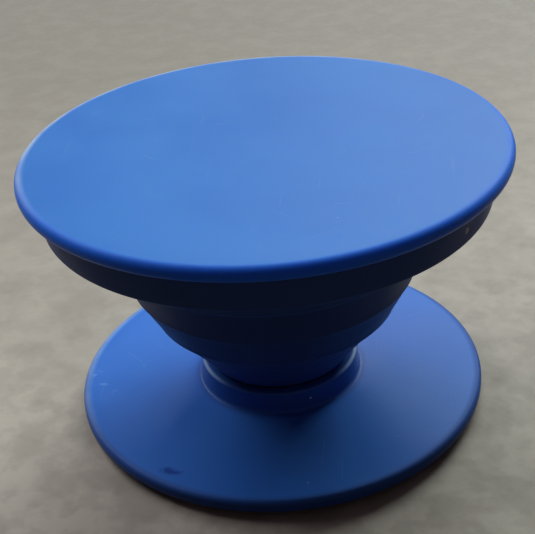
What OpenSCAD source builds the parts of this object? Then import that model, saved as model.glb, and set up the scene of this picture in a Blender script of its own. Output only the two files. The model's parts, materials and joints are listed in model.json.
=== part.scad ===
// Collapsible grip for the back of a phone: a round disc on a moulded accordion
// that stands raised off a round base plate and folds flat against it.
// The origin is the centre of the adhesive pad's lower face, with +Z up.

/* [Button] */
// Diameter of the disc that the fingers hold
button_d = 40; // [39:0.5:46]
// Thickness of the disc
button_t = 1.3; // [1.1:0.1:2]
// Rounding of the disc's upper and lower edge
button_edge_r = 0.6; // [0.2:0.05:0.6]
// Depth of the snap ring below the disc
snap_depth = 2.2; // [1.9:0.1:2.4]
// Wall of the snap ring
snap_wall = 1; // [0.8:0.1:1.4]
// How far the snap ring's barb hooks under the accordion's lip
barb_hook = 0.45; // [0.2:0.05:0.5]
// Height of the barb's straight edge
barb_land = 0.2; // [0.1:0.05:0.3]
// How far the barb's upper face slopes down to that edge
barb_slope = 0.1; // [0.05:0.05:0.2]
// How far the snap ring tapers in at its lower end
snap_lead = 0.1; // [0.05:0.05:0.3]
// Number of springy fingers that slots cut the snap ring into
finger_count = 6; // [3:1:10]
// Width of the slots between the fingers
slot_w = 1.4; // [0.8:0.1:2.5]
// Number of radial ribs under the disc
rib_count = 12; // [6:1:18]
// Width of each rib
rib_w = 0.8; // [0.6:0.1:1.4]
// Depth of the ribs below the disc
rib_depth = 0.5; // [0.3:0.1:0.7]
// Diameter of the ring that the ribs start from
hub_d = 11; // [8:0.5:16]

/* [Accordion] */
// Clear height between the base plate and the disc, drawn out
open_h = 21; // [19.5:0.5:25]
// Outer diameter of the upper tier, the widest one, right under the disc
band_d = 36.9; // [35:0.1:38]
// Height of the upper tier
band_h = 3; // [2.8:0.1:4]
// How much wider the upper tier is at its top, on the radius
band_draft = 0.15; // [0:0.05:0.3]
// Rounding of the upper tier's lower edge
band_edge_r = 0.25; // [0.05:0.05:0.5]
// Diameter through the middle tier's upper fold
middle_top_d = 25; // [24:0.1:26.5]
// Height of that fold above the base plate
middle_top_h = 14; // [13:0.1:15]
// Diameter through the middle tier's lower fold
middle_low_d = 23.6; // [22:0.1:24.6]
// Height of that fold above the base plate
middle_low_h = 11; // [10:0.1:12]
// Diameter through the lower tier's upper fold
lower_top_d = 20.3; // [19:0.1:21.6]
// Height of that fold above the base plate
lower_top_h = 7.8; // [7:0.1:8.6]
// Diameter through the lower tier's lower fold
lower_low_d = 16.1; // [15:0.1:17.4]
// Height of that fold above the base plate
lower_low_h = 5.4; // [4.6:0.1:6]
// Wall of the stiff tiers
tier_wall = 1.2; // [1:0.1:1.5]
// Wall of the thin webs that fold between the tiers
web_wall = 0.8; // [0.6:0.1:0.9]
// How far the thick part of a tier stops short of its folds
fold_relief = 0.35; // [0.1:0.05:0.6]
// Thickening of the round bead at each fold, on the radius
fold_bead = 0.04; // [0.02:0.01:0.1]
// Height of the lip that the snap ring holds
lip_h = 1.2; // [0.8:0.1:1.3]
// Width of the lip
lip_w = 2.1; // [1.8:0.1:2.6]
// Outer diameter of the foot that passes through the collar
foot_d = 11.8; // [11:0.1:12.4]
// Wall of the foot
foot_wall = 1.3; // [1:0.1:1.6]
// Thickness of the flange that keeps the foot in the base plate
flange_t = 0.45; // [0.3:0.05:0.5]
// How far that flange reaches past the foot
flange_w = 1; // [0.5:0.1:1.4]

/* [Base] */
// Diameter of the base plate
base_d = 36; // [34:0.5:42]
// Thickness of the base plate
base_t = 1.2; // [1.1:0.1:2]
// Rounding of the base plate's upper and lower edge
base_edge_r = 0.4; // [0.1:0.05:0.5]
// Height of the collar above the base plate
collar_h = 2; // [1.2:0.1:2.4]
// Wall of the collar at its rim
collar_wall = 1; // [0.6:0.1:1.2]
// How much wider the collar is at its root, on the radius
collar_draft = 0.12; // [0:0.02:0.3]
// Rounding of the collar's rim
collar_rim_r = 0.22; // [0.05:0.01:0.28]
// Fillet where the collar meets the plate
collar_fillet_r = 0.35; // [0.1:0.05:0.6]

/* [Plug] */
// Thickness of the plug's head
plug_head_t = 0.7; // [0.5:0.1:1]
// How far the plug's head reaches past its shank
plug_head_w = 0.7; // [0.4:0.1:0.9]
// Wall of the plug's hollow shank
plug_wall = 1; // [0.8:0.1:1.5]
// Chamfer of the plug's edges
plug_chamfer = 0.2; // [0.1:0.05:0.3]
// Height of the shoulder in the foot above the base plate
shoulder_h = 1.3; // [0.8:0.1:1.5]

/* [Pad] */
// Diameter of the adhesive pad
pad_d = 33; // [28:0.5:33.5]
// Thickness of the adhesive pad
pad_t = 0.9; // [0.6:0.1:1.5]
// Depth of the recess that the pad lies in
recess_depth = 0.3; // [0.1:0.05:0.4]

/* [Fits] */
// Gap between the turning disc and the accordion
turn_gap = 0.1; // [0.05:0.01:0.2]
// Gap round the foot, the plug and the pad
seat_gap = 0.1; // [0.05:0.01:0.2]

/* [Hidden] */
$fn = 128;
BUTTON_BLUE = [0.16, 0.36, 0.78];
ACCORDION_BLUE = [0.08, 0.16, 0.42];
BASE_BLUE = [0.14, 0.32, 0.72];
PAD_GREY = [0.75, 0.76, 0.78];

// How far a feature runs into the piece that it is moulded on
bond = 0.2;
// How far a cut runs past the piece that it opens
past = 1;
// Least straight height between the two roundings of a disc's edge
edge_flat = 0.04;

// Heights of the faces that the pieces share
deck_z = pad_t - recess_depth + base_t;
button_z = deck_z + open_h;

// Radii and heights in the sections, with the base plate's upper face at 0
band_r = band_d / 2;
band_top = open_h - turn_gap;
band_z = band_top - band_h;
lip_r = band_r - lip_w;
lip_z = band_top - lip_h;
foot_r = foot_d / 2;
foot_bore_r = foot_r - foot_wall;
neck_r = foot_r + seat_gap;
neck_z = collar_h + seat_gap;
shoulder_r = foot_bore_r + plug_head_w + seat_gap;
flange_r = foot_r + flange_w;
flange_z = recess_depth - base_t + seat_gap;
collar_bore_r = foot_r + seat_gap;
collar_r = collar_bore_r + collar_wall;
counterbore_r = flange_r + seat_gap;

// Folds of the accordion, from the collar up, as [radius, height]
neck_fold = [neck_r, neck_z + web_wall / 2];
lower_low_fold = [lower_low_d / 2, lower_low_h];
lower_top_fold = [lower_top_d / 2, lower_top_h];
middle_low_fold = [middle_low_d / 2, middle_low_h];
middle_top_fold = [middle_top_d / 2, middle_top_h];
band_fold = [band_r - tier_wall / 2, band_z + web_wall / 2];

// Half section of a disc with rounded edges, standing on the height z
module disc_section(r, t, edge_r, z) {
    round_r = min(edge_r, (t - edge_flat) / 2);
    translate([0, z]) {
        square([r - round_r, t]);
        translate([0, round_r]) square([r, t - 2 * round_r]);
        for (h = [round_r, t - round_r]) translate([r - round_r, h]) circle(round_r);
    }
}

// Section of a thin wall between two folds
module web(from, to) {
    run = to - from;
    translate(from)
        rotate(atan2(run[1], run[0]))
            translate([0, -web_wall / 2])
                square([norm(run), web_wall]);
}

// Section of a stiff wall between two folds: a web that is thickened on its inner side
module tier(from, to) {
    run = to - from;
    web(from, to);
    translate(from)
        rotate(atan2(run[1], run[0]))
            translate([fold_relief, 0])
                square([norm(run) - 2 * fold_relief, tier_wall - web_wall / 2]);
}

// Section of the round bead at a fold
module fold(at) {
    translate(at) circle(web_wall / 2 + fold_bead);
}

// Half section of the accordion between the collar and the upper tier
module bellows_section() {
    for (at = [neck_fold, lower_low_fold, lower_top_fold, middle_low_fold, middle_top_fold]) fold(at);
    web(neck_fold, lower_low_fold);
    tier(lower_low_fold, lower_top_fold);
    web(lower_top_fold, middle_low_fold);
    tier(middle_low_fold, middle_top_fold);
    web(middle_top_fold, band_fold);
}

// Half section of the upper tier, with the lip that the snap ring hooks under
module band_section() {
    inner_r = band_r - tier_wall;
    polygon([
        [inner_r, band_z + tier_wall / 2],
        [band_r - tier_wall / 2, band_z],
        [band_r - band_edge_r, band_z],
        [band_r, band_z + band_edge_r],
        [band_r + band_draft, band_top],
        [lip_r, band_top],
        [lip_r, lip_z],
        [inner_r, lip_z]
    ]);
    translate([band_r - band_edge_r, band_z + band_edge_r]) circle(band_edge_r);
}

// Half section of the foot: neck, shank with its inner shoulder, and flange
module foot_section() {
    polygon([
        [foot_bore_r, flange_z],
        [flange_r, flange_z],
        [flange_r, flange_z + flange_t],
        [foot_r, flange_z + flange_t],
        [foot_r, neck_z],
        [neck_r + web_wall / 2, neck_fold[1]],
        [shoulder_r, neck_fold[1]],
        [shoulder_r, shoulder_h],
        [foot_bore_r, shoulder_h]
    ]);
}

module accordion() {
    color(ACCORDION_BLUE)
        translate([0, 0, deck_z])
            rotate_extrude()
                union() {
                    bellows_section();
                    band_section();
                    foot_section();
                }
}

// Ring of springy fingers that hook under the accordion's lip and turn in it
module snap_ring() {
    snap_r = lip_r - turn_gap;
    barb_r = lip_r + barb_hook;
    barb_z = lip_z - open_h - turn_gap;
    difference() {
        rotate_extrude()
            polygon([
                [snap_r - snap_wall, bond],
                [snap_r, bond],
                [snap_r, barb_z],
                [barb_r, barb_z - barb_slope],
                [barb_r, barb_z - barb_slope - barb_land],
                [snap_r - snap_lead, -snap_depth],
                [snap_r - snap_wall, -snap_depth]
            ]);
        for (i = [0 : finger_count - 1])
            rotate((i + 0.5) * 360 / finger_count)
                translate([0, -slot_w / 2, -snap_depth - past])
                    cube([barb_r + past, slot_w, snap_depth + past]);
    }
}

// Shallow ribs that run from the hub ring to the snap ring
module button_ribs() {
    hub_r = hub_d / 2;
    rib_end_r = lip_r - turn_gap - snap_wall / 2;
    translate([0, 0, -rib_depth]) {
        difference() {
            cylinder(h = rib_depth + bond, r = hub_r);
            translate([0, 0, -past]) cylinder(h = rib_depth + bond + 2 * past, r = hub_r - rib_w);
        }
        for (i = [0 : rib_count - 1])
            rotate(i * 360 / rib_count)
                translate([hub_r - rib_w / 2, -rib_w / 2, 0])
                    cube([rib_end_r - hub_r + rib_w / 2, rib_w, rib_depth + bond]);
    }
}

module button() {
    color(BUTTON_BLUE)
        translate([0, 0, button_z]) {
            rotate_extrude() disc_section(button_d / 2, button_t, button_edge_r, 0);
            snap_ring();
            button_ribs();
        }
}

// Half section of the collar, with its rounded rim and the fillet at its root
module collar_section() {
    root_r = collar_r + collar_draft;
    rim_z = collar_h - collar_rim_r;
    difference() {
        union() {
            polygon([
                [collar_bore_r, -bond],
                [root_r, -bond],
                [root_r, 0],
                [collar_r, rim_z],
                [collar_r - collar_rim_r, collar_h],
                [collar_bore_r + collar_rim_r, collar_h],
                [collar_bore_r, rim_z]
            ]);
            for (r = [collar_r - collar_rim_r, collar_bore_r + collar_rim_r])
                translate([r, rim_z]) circle(collar_rim_r);
            translate([root_r - bond, -bond]) square(collar_fillet_r + bond);
        }
        translate([root_r + collar_fillet_r, collar_fillet_r]) circle(collar_fillet_r);
    }
}

module base_plate() {
    color(BASE_BLUE)
        translate([0, 0, deck_z])
            difference() {
                rotate_extrude()
                    union() {
                        disc_section(base_d / 2, base_t, base_edge_r, -base_t);
                        collar_section();
                    }
                translate([0, 0, -base_t - past]) {
                    cylinder(h = base_t + collar_h + 2 * past, r = collar_bore_r);
                    cylinder(h = past + recess_depth, r = pad_d / 2 + seat_gap);
                    cylinder(h = past + base_t + flange_z + flange_t + seat_gap, r = counterbore_r);
                }
            }
}

// Hollow plug that is pressed into the foot and keeps it spread in the collar
module foot_plug() {
    shank_r = foot_bore_r - seat_gap;
    head_r = shank_r + plug_head_w;
    head_z = shoulder_h + seat_gap;
    head_top = head_z + plug_head_t;
    color(BASE_BLUE)
        translate([0, 0, deck_z])
            difference() {
                rotate_extrude()
                    polygon([
                        [0, flange_z],
                        [shank_r - plug_chamfer, flange_z],
                        [shank_r, flange_z + plug_chamfer],
                        [shank_r, head_z],
                        [head_r, head_z],
                        [head_r, head_top - plug_chamfer],
                        [head_r - plug_chamfer, head_top],
                        [0, head_top]
                    ]);
                translate([0, 0, flange_z - past])
                    cylinder(h = head_z - flange_z + past, r = shank_r - plug_wall);
            }
}

module adhesive_pad() {
    color(PAD_GREY) cylinder(h = pad_t, r = pad_d / 2);
}

button();
accordion();
foot_plug();
base_plate();
adhesive_pad();
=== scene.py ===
"""Looks of a collapsible phone grip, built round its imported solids.

The grip is a round disc on a dark moulded accordion, which rises off a round base
plate. Every piece is turned or moulded here at the sizes of its solid, and all
sizes are in millimetres until a mesh is made.
"""

import json
import logging
import math
from abc import ABC, abstractmethod
from dataclasses import dataclass, replace
from enum import Enum
from functools import cached_property, partial, reduce

import bmesh
import bpy
from mathutils import Matrix, Vector

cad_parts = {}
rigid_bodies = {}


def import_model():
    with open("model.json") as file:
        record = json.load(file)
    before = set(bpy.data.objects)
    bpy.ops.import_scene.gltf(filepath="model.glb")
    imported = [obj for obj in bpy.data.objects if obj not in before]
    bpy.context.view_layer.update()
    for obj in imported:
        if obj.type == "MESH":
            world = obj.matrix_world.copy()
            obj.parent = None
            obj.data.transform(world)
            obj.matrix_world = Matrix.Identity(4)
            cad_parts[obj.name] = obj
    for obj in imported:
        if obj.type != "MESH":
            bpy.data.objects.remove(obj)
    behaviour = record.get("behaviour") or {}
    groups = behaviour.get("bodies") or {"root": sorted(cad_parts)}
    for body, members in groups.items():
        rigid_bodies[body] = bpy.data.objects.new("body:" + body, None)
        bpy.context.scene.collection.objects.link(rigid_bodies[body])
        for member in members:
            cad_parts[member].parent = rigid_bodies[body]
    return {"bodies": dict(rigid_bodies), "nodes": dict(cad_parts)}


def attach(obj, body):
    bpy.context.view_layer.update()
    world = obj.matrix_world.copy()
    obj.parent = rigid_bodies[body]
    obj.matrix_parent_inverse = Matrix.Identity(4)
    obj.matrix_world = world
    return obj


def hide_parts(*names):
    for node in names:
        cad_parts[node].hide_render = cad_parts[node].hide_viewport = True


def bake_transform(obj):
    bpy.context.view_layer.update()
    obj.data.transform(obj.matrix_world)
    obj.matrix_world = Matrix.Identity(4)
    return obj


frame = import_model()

LOG = logging.getLogger("grip")
MM = 0.001
TURN_STEPS = 192
MERGE_DISTANCE = 1e-6
SHARP_ANGLE = math.radians(32)

DECK_Z = 1.8
OPEN_HEIGHT = 21.0
BUTTON_Z = DECK_Z + OPEN_HEIGHT
DISC_RADIUS = 20.0
DISC_THICKNESS = 1.3
PLATE_RADIUS = 18.0

Socket = bpy.types.NodeSocket
Colour = tuple[float, float, float]
Place = tuple[float, float, float]
Span = tuple[float, float]
Rounding = tuple[float, int]

# Radius in mm and number of segments of an edge that is only just broken, and of a soft one
BROKEN: Rounding = (0.05, 2)
SOFT: Rounding = (0.1, 3)


class Body(Enum):
    """Bodies that the grip's pieces ride on."""

    BASE = "base"
    BELLOWS = "bellows"
    BUTTON = "button"


class Slot(Enum):
    """Material slots of the record."""

    BUTTON = "button_plastic"
    ACCORDION = "accordion_elastomer"
    BASE = "base_plastic"
    PAD = "pad_foam"


class Operation(Enum):
    """Ways to combine two shapes."""

    JOIN = "UNION"
    CUT = "DIFFERENCE"


class Side(Enum):
    """Side of a folded wall, as the sign of the step across its centre line."""

    OUTER = 1
    INNER = -1


@dataclass(frozen=True)
class Corner:
    """A corner of a turned section.

    Attributes:
        r: Radius from the axis, in mm.
        z: Height, in mm.
        rounding: Radius of the arc that replaces the corner, in mm.
        segments: Number of straight pieces in that arc.
    """

    r: float
    z: float
    rounding: float = 0.0
    segments: int = 4


@dataclass
class Lathe:
    """A section that is turned about the Z axis into a mesh.

    Attributes:
        corners: The section's corners in order.
        closed: Whether the last corner joins the first. An open section starts
            and ends on the axis.
        lift: Height added to every corner, in mm.
        pitch: Longest straight edge left in the section, in mm.
        steps: Number of steps in the full turn.
    """

    corners: list[Corner]
    closed: bool = False
    lift: float = 0.0
    pitch: float = 1.2
    steps: int = TURN_STEPS

    def opening_angle(self, index: int) -> float:
        """Measure the angle between the two edges that meet at a corner.

        Args:
            index: The corner's place in the list.

        Returns:
            The angle in radians.
        """
        count = len(self.corners)
        here, before, after = (self.corners[i % count] for i in (index, index - 1, index + 1))
        back = Vector((before.r - here.r, before.z - here.z))
        ahead = Vector((after.r - here.r, after.z - here.z))
        return back.angle(ahead)

    def section(self) -> bmesh.types.BMesh:
        """Draw the section as a wire in the XZ plane and round its corners.

        Returns:
            A bmesh that holds only the wire.
        """
        bm = bmesh.new()
        points = [bm.verts.new((c.r * MM, 0.0, (c.z + self.lift) * MM)) for c in self.corners]
        for start, end in zip(points, points[1:]):
            bm.edges.new((start, end))
        if self.closed:
            bm.edges.new((points[-1], points[0]))
        for index, (corner, point) in enumerate(zip(self.corners, points)):
            if corner.rounding > 0:
                bmesh.ops.bevel(
                    bm,
                    geom=[point],
                    offset=corner.rounding * MM / math.tan(self.opening_angle(index) / 2),
                    offset_type="OFFSET",
                    segments=corner.segments,
                    profile=0.5,
                    affect="VERTICES",
                    material=-1,
                )
        for edge in list(bm.edges):
            cuts = math.ceil(edge.calc_length() / (self.pitch * MM)) - 1
            if cuts > 0:
                bmesh.ops.subdivide_edges(bm, edges=[edge], cuts=cuts)
        return bm

    def turn(self) -> bmesh.types.BMesh:
        """Turn the section through a full circle.

        Returns:
            A closed bmesh with its normals outward.
        """
        bm = self.section()
        bmesh.ops.spin(
            bm,
            geom=list(bm.verts) + list(bm.edges),
            cent=(0.0, 0.0, 0.0),
            axis=(0.0, 0.0, 1.0),
            dvec=(0.0, 0.0, 0.0),
            angle=math.tau,
            steps=self.steps,
            use_merge=True,
        )
        bmesh.ops.remove_doubles(bm, verts=list(bm.verts), dist=MERGE_DISTANCE)
        bmesh.ops.recalc_face_normals(bm, faces=list(bm.faces))
        return bm


def cube(low: Place, high: Place) -> bmesh.types.BMesh:
    """Make a box between two corners.

    Args:
        low: Lowest corner, in mm.
        high: Highest corner, in mm.

    Returns:
        The box as a bmesh.
    """
    bm = bmesh.new()
    bmesh.ops.create_cube(bm, size=1.0)
    size = Vector(high) - Vector(low)
    middle = (Vector(high) + Vector(low)) / 2
    bmesh.ops.scale(bm, vec=size * MM, verts=list(bm.verts))
    bmesh.ops.translate(bm, vec=middle * MM, verts=list(bm.verts))
    return bm


def repeat_round(bm: bmesh.types.BMesh, count: int, first: float = 0.0) -> bmesh.types.BMesh:
    """Turn a shape by a first angle and repeat it evenly round the axis.

    Args:
        bm: The shape, lying along +X.
        count: Number of copies in all.
        first: Angle of the first copy, in radians.

    Returns:
        The same bmesh with all copies.
    """
    original = list(bm.verts) + list(bm.edges) + list(bm.faces)
    bmesh.ops.rotate(bm, verts=list(bm.verts), matrix=Matrix.Rotation(first, 3, "Z"))
    for index in range(1, count):
        copy = bmesh.ops.duplicate(bm, geom=original)["geom"]
        turned = [item for item in copy if isinstance(item, bmesh.types.BMVert)]
        angle = index * math.tau / count
        bmesh.ops.rotate(bm, verts=turned, matrix=Matrix.Rotation(angle, 3, "Z"))
    return bm


def smooth(bm: bmesh.types.BMesh) -> None:
    """Make all faces smooth and keep the sharp corners.

    Args:
        bm: The shape.
    """
    for face in bm.faces:
        face.smooth = True
    for edge in bm.edges:
        edge.smooth = edge.calc_face_angle(0.0) < SHARP_ANGLE


def as_object(bm: bmesh.types.BMesh, name: str) -> bpy.types.Object:
    """Turn a bmesh into an object at the origin, with smooth faces and sharp corners.

    Args:
        bm: The shape; it is freed.
        name: Name of the new object.

    Returns:
        The linked object.
    """
    smooth(bm)
    mesh = bpy.data.meshes.new(name)
    bm.to_mesh(mesh)
    bm.free()
    obj = bpy.data.objects.new(name, mesh)
    bpy.context.scene.collection.objects.link(obj)
    return obj


def combine(body: bpy.types.Object, tool: bpy.types.Object, operation: Operation) -> None:
    """Join a tool shape to a body, or cut it away, and bake the result in its mesh.

    Args:
        body: The object that is changed.
        tool: The other shape; it is removed.
        operation: What is done with the tool.
    """
    modifier = body.modifiers.new("combine", "BOOLEAN")
    modifier.object = tool
    modifier.operation = operation.value
    modifier.solver = "EXACT"
    graph = bpy.context.evaluated_depsgraph_get()
    baked = bpy.data.meshes.new_from_object(body.evaluated_get(graph))
    body.modifiers.clear()
    old = body.data
    body.data = baked
    bpy.data.meshes.remove(old)
    bpy.data.objects.remove(tool)


def refine(obj: bpy.types.Object) -> None:
    """Merge doubles, point faces outward and mark the sharp corners again.

    Args:
        obj: An object whose mesh was combined from several shapes.
    """
    bm = bmesh.new()
    bm.from_mesh(obj.data)
    bmesh.ops.remove_doubles(bm, verts=list(bm.verts), dist=MERGE_DISTANCE)
    bmesh.ops.recalc_face_normals(bm, faces=list(bm.faces))
    smooth(bm)
    bm.to_mesh(obj.data)
    bm.free()


class Nodes:
    """A typed front for one tree of shader nodes."""

    def __init__(self, tree: bpy.types.NodeTree) -> None:
        """Take the tree that the nodes are added to."""
        self.tree = tree

    def add(self, kind: str, operation: str = "") -> bpy.types.Node:
        """Add a node.

        Args:
            kind: The node's type, without the ShaderNode that it starts with.
            operation: What a Math or a VectorMath node does.

        Returns:
            The new node.
        """
        node = self.tree.nodes.new(f"ShaderNode{kind}")
        if operation:
            node.operation = operation
        return node

    def feed(self, target: Socket, value: Socket | float | tuple) -> None:
        """Link a socket to a target, or set the target's own value.

        Args:
            target: The input that takes the value.
            value: A socket, or the value itself.
        """
        if isinstance(value, bpy.types.NodeSocket):
            self.tree.links.new(value, target)
        else:
            target.default_value = value

    def math(self, operation: str, a: Socket | float, b: Socket | float = 0.0) -> Socket:
        """Combine two numbers.

        Args:
            operation: Name of the Math node's operation.
            a: First number.
            b: Second number.

        Returns:
            The result's socket.
        """
        node = self.add("Math", operation)
        self.feed(node.inputs[0], a)
        self.feed(node.inputs[1], b)
        return node.outputs[0]

    def total(self, *values: Socket | float) -> Socket:
        """Add numbers up."""
        return reduce(partial(self.math, "ADD"), values)

    def product(self, *values: Socket | float) -> Socket:
        """Multiply numbers."""
        return reduce(partial(self.math, "MULTIPLY"), values)

    def highest(self, *values: Socket | float) -> Socket:
        """Find the highest of some numbers."""
        return reduce(partial(self.math, "MAXIMUM"), values)

    def capped(self, *values: Socket | float) -> Socket:
        """Add masks up, to 1 at most."""
        return self.math("MINIMUM", self.total(*values), 1.0)

    def step(
        self, value: Socket, low: float, high: float, start: float = 0.0, end: float = 1.0
    ) -> Socket:
        """Map a number smoothly from one range to another, with both ends held.

        Args:
            value: The number.
            low: Where the step starts.
            high: Where the step ends.
            start: Result up to the step's start.
            end: Result from the step's end.

        Returns:
            The result's socket.
        """
        node = self.add("MapRange")
        node.interpolation_type = "SMOOTHSTEP"
        for name, number in (("From Min", low), ("From Max", high), ("To Min", start), ("To Max", end)):
            node.inputs[name].default_value = number
        self.feed(node.inputs["Value"], value)
        return node.outputs["Result"]

    def blend(self, share: Socket | float, first: Socket | Colour, second: Socket | Colour) -> Socket:
        """Mix two colours.

        Args:
            share: Share of the second colour.
            first: First colour.
            second: Second colour.

        Returns:
            The mixed colour's socket.
        """
        node = self.add("Mix")
        node.data_type = "RGBA"
        self.feed(node.inputs[0], share)
        for place, colour in ((6, first), (7, second)):
            self.feed(node.inputs[place], (*colour, 1.0) if isinstance(colour, tuple) else colour)
        return node.outputs[2]

    def split(self, vector: Socket) -> tuple[Socket, Socket, Socket]:
        """Split a vector.

        Args:
            vector: The vector's socket.

        Returns:
            The sockets of x, y and z.
        """
        node = self.add("SeparateXYZ")
        self.feed(node.inputs[0], vector)
        return node.outputs[0], node.outputs[1], node.outputs[2]

    def seen_rays(self) -> Socket:
        """Tell the rays that show a surface from those that carry its light on.

        Returns:
            A number that is 1 for camera, glossy and transmission rays.
        """
        path = self.add("LightPath")
        names = ("Is Camera Ray", "Is Glossy Ray", "Is Transmission Ray")
        return self.highest(*[path.outputs[name] for name in names])


class Shader(Nodes):
    """The nodes of one material, whose patterns lie on the piece's own coordinates."""

    def __init__(self, name: str, levels: dict[str, float | tuple]) -> None:
        """Start a material with one Principled shader.

        Args:
            name: Name of the material.
            levels: The shader's inputs that are the same all over the piece.
        """
        self.material = bpy.data.materials.new(name)
        self.material.use_nodes = True
        super().__init__(self.material.node_tree)
        self.tree.nodes.clear()
        self.surface = self.add("BsdfPrincipled")
        for socket, level in levels.items():
            self.surface.inputs[socket].default_value = level
        self.feed(self.add("OutputMaterial").inputs["Surface"], self.surface.outputs["BSDF"])
        self.place = self.add("TexCoord").outputs["Object"]
        in_mm = self.add("VectorMath", "SCALE")
        in_mm.inputs["Scale"].default_value = 1 / MM
        self.feed(in_mm.inputs[0], self.place)
        self.x, self.y, self.z = self.split(in_mm.outputs["Vector"])

    @cached_property
    def radius(self) -> Socket:
        """Measure the distance from the Z axis, in mm."""
        squares = self.total(self.product(self.x, self.x), self.product(self.y, self.y))
        return self.math("SQRT", squares)

    def noise(self, scale: float, detail: float = 2.0, place: Socket | None = None) -> Socket:
        """Make a cloudy noise.

        Args:
            scale: Number of clouds to a metre.
            detail: Number of finer layers.
            place: Coordinates, or None for the piece's own.

        Returns:
            The noise's number, from 0 to 1.
        """
        node = self.add("TexNoise")
        node.inputs["Scale"].default_value = scale
        node.inputs["Detail"].default_value = detail
        self.feed(node.inputs["Vector"], place or self.place)
        return node.outputs[0]

    def cells(self, scale: float) -> bpy.types.Node:
        """Make round cells.

        Args:
            scale: Number of cells to a metre.

        Returns:
            The node, which gives each cell's distance and colour.
        """
        node = self.add("TexVoronoi")
        node.inputs["Scale"].default_value = scale
        self.feed(node.inputs["Vector"], self.place)
        return node

    def stretched(self, turn: float, across: float, along: float) -> Socket:
        """Turn and stretch the piece's coordinates in the XY plane.

        Args:
            turn: Direction of the stretch from the X axis, in degrees.
            across: Scale across the direction.
            along: Scale along the direction.

        Returns:
            The coordinates' socket.
        """
        turned, stretched = self.add("Mapping"), self.add("Mapping")
        turned.inputs["Rotation"].default_value = (0.0, 0.0, math.radians(-turn))
        self.feed(turned.inputs["Vector"], self.place)
        stretched.inputs["Scale"].default_value = (along, across, across)
        self.feed(stretched.inputs["Vector"], turned.outputs["Vector"])
        return stretched.outputs["Vector"]

    def bump(self, height: Socket, depth: float, below: Socket | None = None) -> Socket:
        """Raise a surface by a height map.

        Args:
            height: Heights from 0 to 1.
            depth: Height of 1, in mm.
            below: Normal of an earlier bump.

        Returns:
            The new normal's socket.
        """
        node = self.add("Bump")
        node.inputs["Strength"].default_value = 1.0
        node.inputs["Distance"].default_value = depth * MM
        self.feed(node.inputs["Height"], height)
        if below is not None:
            self.feed(node.inputs["Normal"], below)
        return node.outputs["Normal"]

    def finish(self, colour: Socket, rough: Socket, normal: Socket) -> bpy.types.Material:
        """Join the three maps to the shader.

        Args:
            colour: Map of the colour.
            rough: Map of the roughness.
            normal: Normal of the last bump.

        Returns:
            The finished material.
        """
        for name, value in (("Base Color", colour), ("Roughness", rough), ("Normal", normal)):
            self.feed(self.surface.inputs[name], value)
        return self.material


@dataclass(frozen=True)
class Clouds:
    """A cloudy pattern, stepped from a start to an end.

    Attributes:
        scale: Number of clouds to a metre.
        detail: Number of finer layers.
        low: Level of the noise where the step starts.
        high: Level of the noise where the step ends.
        start: The pattern's value up to the step's start.
        end: Its value from the step's end.
    """

    scale: float
    detail: float
    low: float
    high: float
    start: float = 0.0
    end: float = 1.0

    def draw(self, shader: Shader) -> Socket:
        """Draw the pattern on the piece's own coordinates."""
        noise = shader.noise(self.scale, self.detail)
        return shader.step(noise, self.low, self.high, self.start, self.end)


@dataclass(frozen=True)
class Grain:
    """A cloudy pattern that is raised from the surface.

    Attributes:
        scale: Number of clouds to a metre.
        detail: Number of finer layers.
        depth: Height of the pattern, in mm.
    """

    scale: float
    detail: float
    depth: float

    def put_on(self, shader: Shader, below: Socket | None = None) -> Socket:
        """Raise the pattern on a surface, or on the normal of an earlier bump."""
        return shader.bump(shader.noise(self.scale, self.detail), self.depth, below)


@dataclass(frozen=True)
class Hairlines:
    """Fine scratches in a few directions, thinned out by a cloudy pattern.

    Attributes:
        sets: Direction of each set in degrees, with its scale across and along it.
        crest: Levels of the noise between which a line sets in.
        spread: Pattern of the places that are scratched.
        strength: How strongly the lines show in the colour, from 0 to 1.
        matt: How much they add to the roughness.
        depth: How deep they are, in mm.
    """

    sets: tuple[tuple[float, float, float], ...] = (
        (24.0, 3600.0, 120.0),
        (-51.0, 4100.0, 150.0),
        (83.0, 3300.0, 110.0),
    )
    crest: Span = (0.735, 0.76)
    spread: Clouds = Clouds(170.0, 2.0, 0.42, 0.62)
    strength: float = 0.09
    matt: float = 0.12
    depth: float = 0.002

    def mask(self, shader: Shader) -> Socket:
        """Draw the lines of all sets.

        Args:
            shader: The shader that they are drawn in.

        Returns:
            A mask that is 1 on a line.
        """
        lines = []
        for turn, across, along in self.sets:
            stripes = shader.noise(1.0, 1.0, shader.stretched(turn, across, along))
            lines.append(shader.step(stripes, *self.crest))
        return shader.product(shader.capped(*lines), self.spread.draw(shader))


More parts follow.
